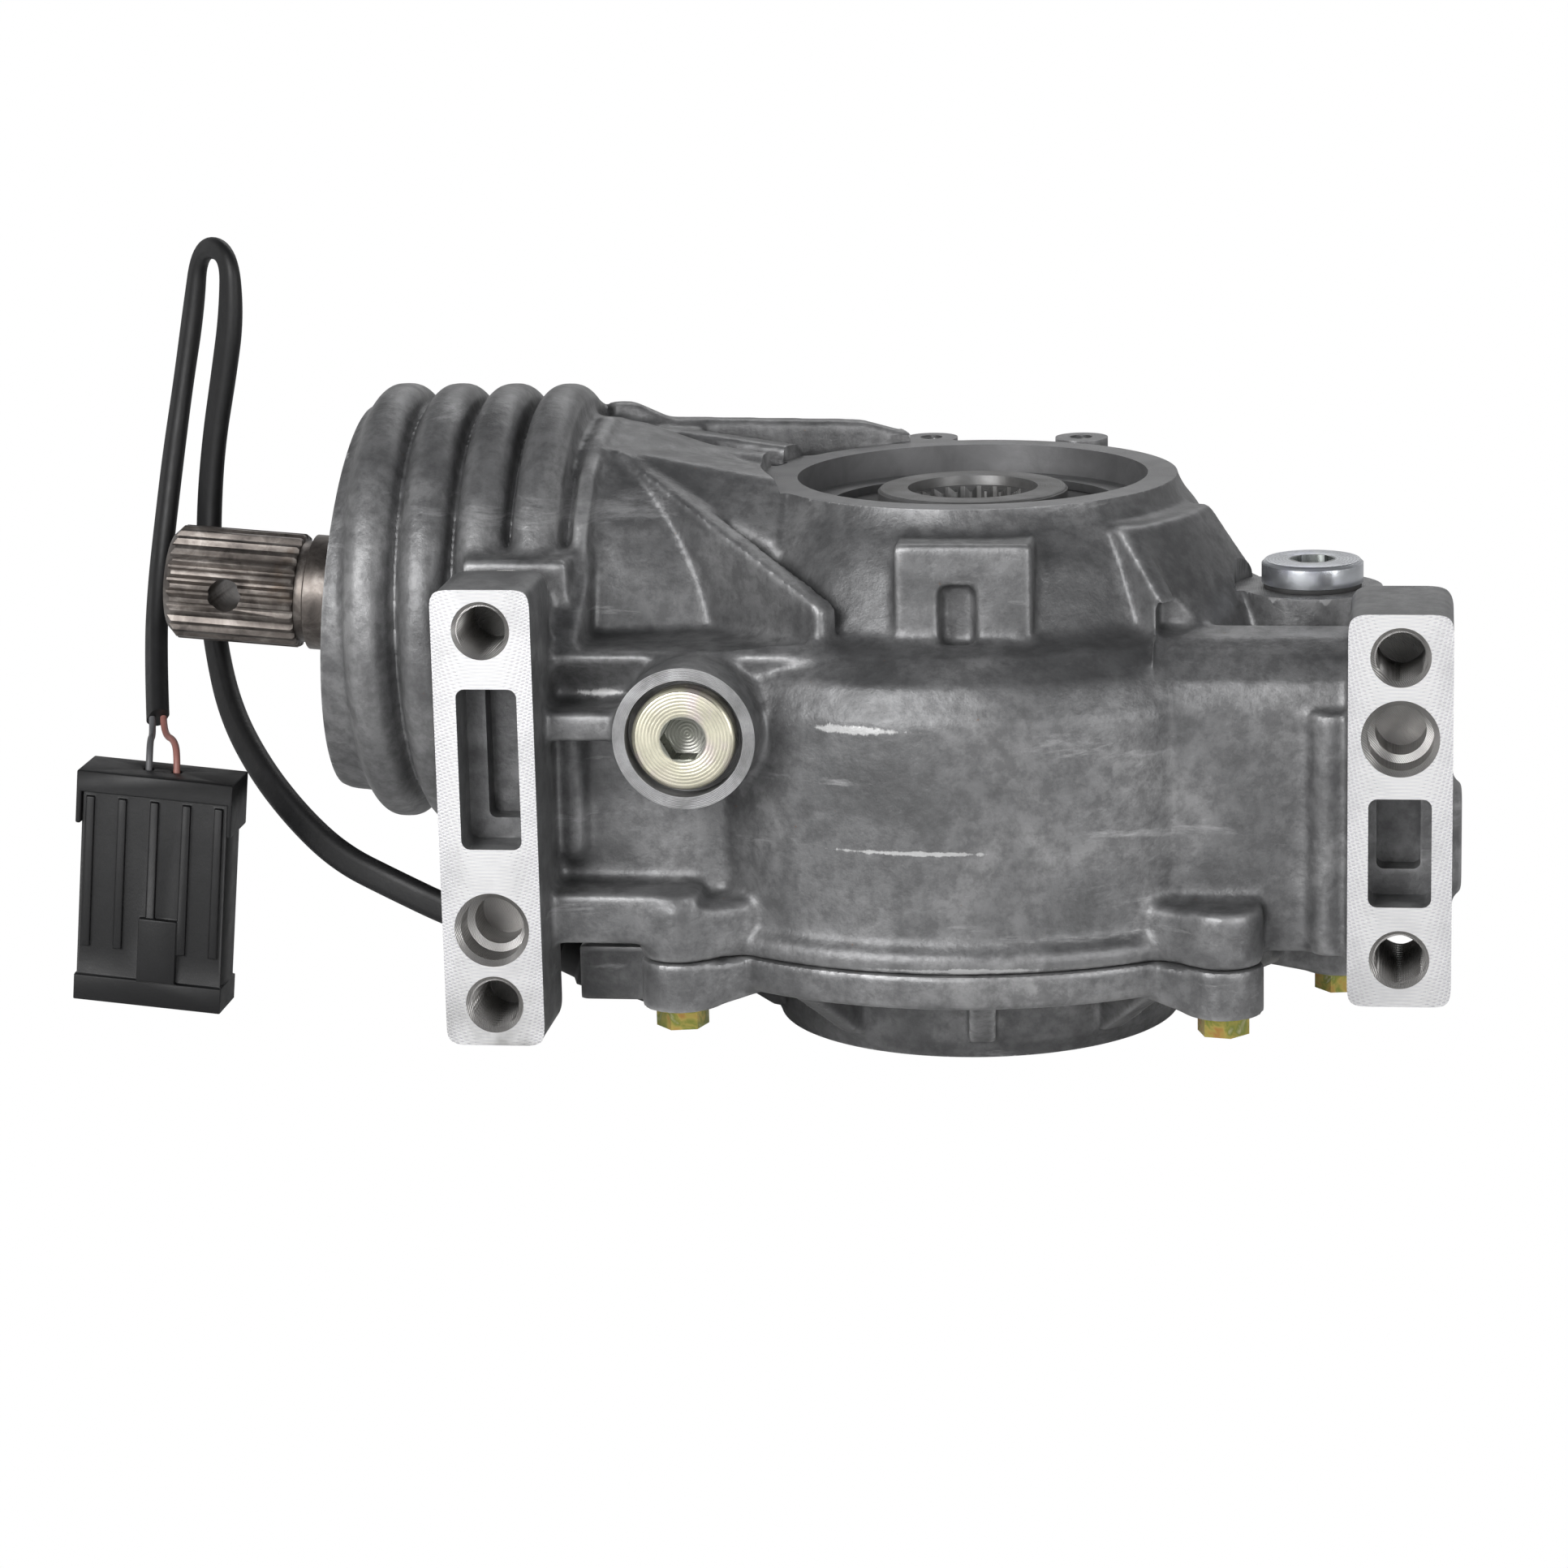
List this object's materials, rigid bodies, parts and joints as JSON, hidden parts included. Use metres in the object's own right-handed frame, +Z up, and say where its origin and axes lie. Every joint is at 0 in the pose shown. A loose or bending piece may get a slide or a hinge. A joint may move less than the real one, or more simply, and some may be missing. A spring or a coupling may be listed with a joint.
{
  "type": "front differential",
  "caption": "Cast front differential with ribbed pinion snout, splined input shaft, mounting pads, bevel gears, roller clutch with coil, and a lead with connector.",
  "frame": {"origin": "on the output axis in the plane of the cover's base ring, the lowest face of the unit", "axes": "+Z up the output axis towards the open rim, -X towards the input shaft, -Y towards the side that the mounting pads face"},
  "size_m": [0.3169, 0.1815, 0.1768],
  "materials": {
    "cast_aluminium": "dull sand-grey casting with bright machined faces",
    "zinc_steel": "zinc plated, turned",
    "yellow_zinc": "yellow chromate",
    "shaft_steel": "dark, oiled",
    "gear_steel": "ground",
    "bearing_steel": "polished",
    "clutch_steel": "machined",
    "bronze": "plain",
    "copper_winding": "varnished winding",
    "seal_rubber": "matt",
    "sleeve_black": "soft sleeve",
    "connector_black": "moulded",
    "wire_insulation": "thin insulation"
  },
  "bodies": {
    "case_body": {"main_case": "cast_aluminium", "output_cover": "cast_aluminium", "cover_seal_ring": "seal_rubber", "cover_bolts": "yellow_zinc", "cover_dowels": "zinc_steel", "fill_plug": "zinc_steel", "fill_plug_seal": "seal_rubber", "drain_plug": "zinc_steel", "drain_plug_seal": "seal_rubber", "pinion_bearing_outer_race": "bearing_steel", "pinion_bearing_balls": "bearing_steel", "pinion_retaining_ring": "clutch_steel", "pinion_seal": "seal_rubber", "upper_bearing_outer_race": "bearing_steel", "upper_bearing_balls": "bearing_steel", "lower_bearing_outer_race": "bearing_steel", "lower_bearing_balls": "bearing_steel", "upper_output_seal": "seal_rubber", "lower_output_seal": "seal_rubber", "coil_housing": "clutch_steel", "coil": "copper_winding", "harness_grommet": "seal_rubber", "harness_sleeve": "sleeve_black", "harness_wires": "wire_insulation", "connector_body": "connector_black", "connector_lock": "connector_black", "connector_terminals": "bronze"},
    "ring_body": {"ring_gear": "gear_steel", "ring_gear_bolts": "clutch_steel", "clutch_housing": "clutch_steel", "clutch_cap": "clutch_steel", "clutch_cap_ring": "clutch_steel", "upper_bearing_inner_race": "bearing_steel", "lower_bearing_inner_race": "bearing_steel", "upper_thrust_washer": "bronze", "lower_thrust_washer": "bronze"},
    "pinion_body": {"pinion_shaft": "shaft_steel", "pinion_bearing_inner_race": "bearing_steel", "pinion_shaft_ring": "clutch_steel"},
    "upper_hub_body": {"upper_output_hub": "gear_steel"},
    "lower_hub_body": {"lower_output_hub": "gear_steel", "thrust_button": "bronze"},
    "cage_body": {"roll_cage": "clutch_steel", "rollers": "bearing_steel"},
    "armature_body": {"armature_plate": "clutch_steel"}
  },
  "joints": [
    {"name": "ring_spin", "type": "hinge", "parent": "case_body", "child": "ring_body", "pos_m": [0, 0, 0.084], "axis": [0, 0, 1], "continuous": true},
    {"name": "pinion_spin", "type": "hinge", "parent": "case_body", "child": "pinion_body", "pos_m": [0, 0, 0.084], "axis": [-0.9969, 0, 0.0785], "continuous": true},
    {"name": "upper_hub_spin", "type": "hinge", "parent": "case_body", "child": "upper_hub_body", "pos_m": [0, 0, 0.1], "axis": [0, 0, 1], "continuous": true},
    {"name": "lower_hub_spin", "type": "hinge", "parent": "case_body", "child": "lower_hub_body", "pos_m": [0, 0, 0.03], "axis": [0, 0, 1], "continuous": true},
    {"name": "cage_shift", "type": "hinge", "parent": "ring_body", "child": "cage_body", "pos_m": [0, 0, 0.07], "axis": [0, 0, 1], "range_deg": [-2.5, 2.5]},
    {"name": "armature_pull", "type": "slide", "parent": "cage_body", "child": "armature_body", "axis": [0, 0, -1], "range_m": [0, 0.0004]}
  ],
  "couplings": [
    {"joint": "pinion_spin", "follows": "ring_spin", "ratio": 3.6667}
  ]
}
